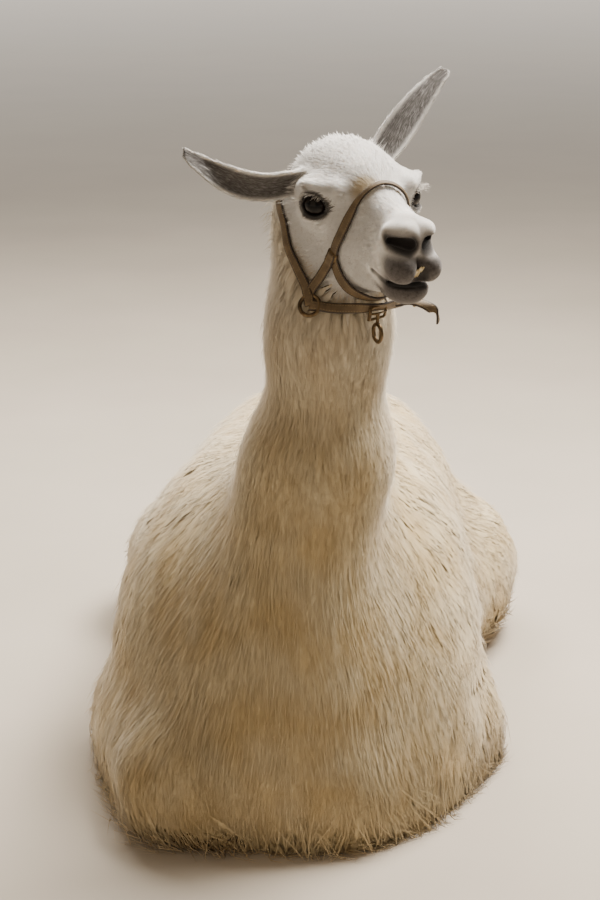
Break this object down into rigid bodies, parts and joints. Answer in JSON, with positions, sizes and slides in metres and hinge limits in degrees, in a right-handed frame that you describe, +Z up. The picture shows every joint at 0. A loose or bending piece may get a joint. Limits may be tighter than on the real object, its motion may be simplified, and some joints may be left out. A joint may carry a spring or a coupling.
{
  "type": "llama",
  "caption": "Adult llama lying with its legs folded under it, head up and turned to its left, long fleece, ears out, wearing a strap halter with no lead.",
  "frame": {"origin": "on the floor under the breastbone, on the body's middle plane", "axes": "+Z up, the llama faces -Y, its left side is +X"},
  "size_m": [0.754, 1.3105, 1.175],
  "materials": {
    "fleece": "long cream llama fleece, loose and matt",
    "face": "short flat off-white face hair, matt",
    "ear": "short grey-white ear hair, matt",
    "pad": "leathery toe pads with short hair above",
    "nail": "dark horn, worn matt",
    "eye": "wet near-black eye",
    "tooth": "yellowed enamel",
    "strap": "worn tan strap with darker edges",
    "metal": "dull bronze-brown halter fittings"
  },
  "bodies": {
    "root": {"trunk": "fleece", "neck": "fleece", "tail": "fleece", "foreleg_left": "fleece", "foreleg_right": "fleece", "hindleg_left": "fleece", "hindleg_right": "fleece", "head": "face", "ear_left": "ear", "ear_right": "ear", "forefoot_left": "pad", "forefoot_right": "pad", "hindfoot_left": "pad", "hindfoot_right": "pad", "forenail_left_inner": "nail", "forenail_left_outer": "nail", "forenail_right_inner": "nail", "forenail_right_outer": "nail", "hindnail_left_inner": "nail", "hindnail_left_outer": "nail", "hindnail_right_inner": "nail", "hindnail_right_outer": "nail", "eye_left": "eye", "eye_right": "eye", "lower_incisors": "tooth", "halter_noseband": "strap", "halter_cheek_left": "strap", "halter_cheek_right": "strap", "halter_crown": "strap", "halter_jaw": "strap", "halter_loose_end": "strap", "halter_ring_left": "metal", "halter_ring_right": "metal", "halter_buckle": "metal", "halter_chin_ring": "metal"}
  },
  "joints": []
}
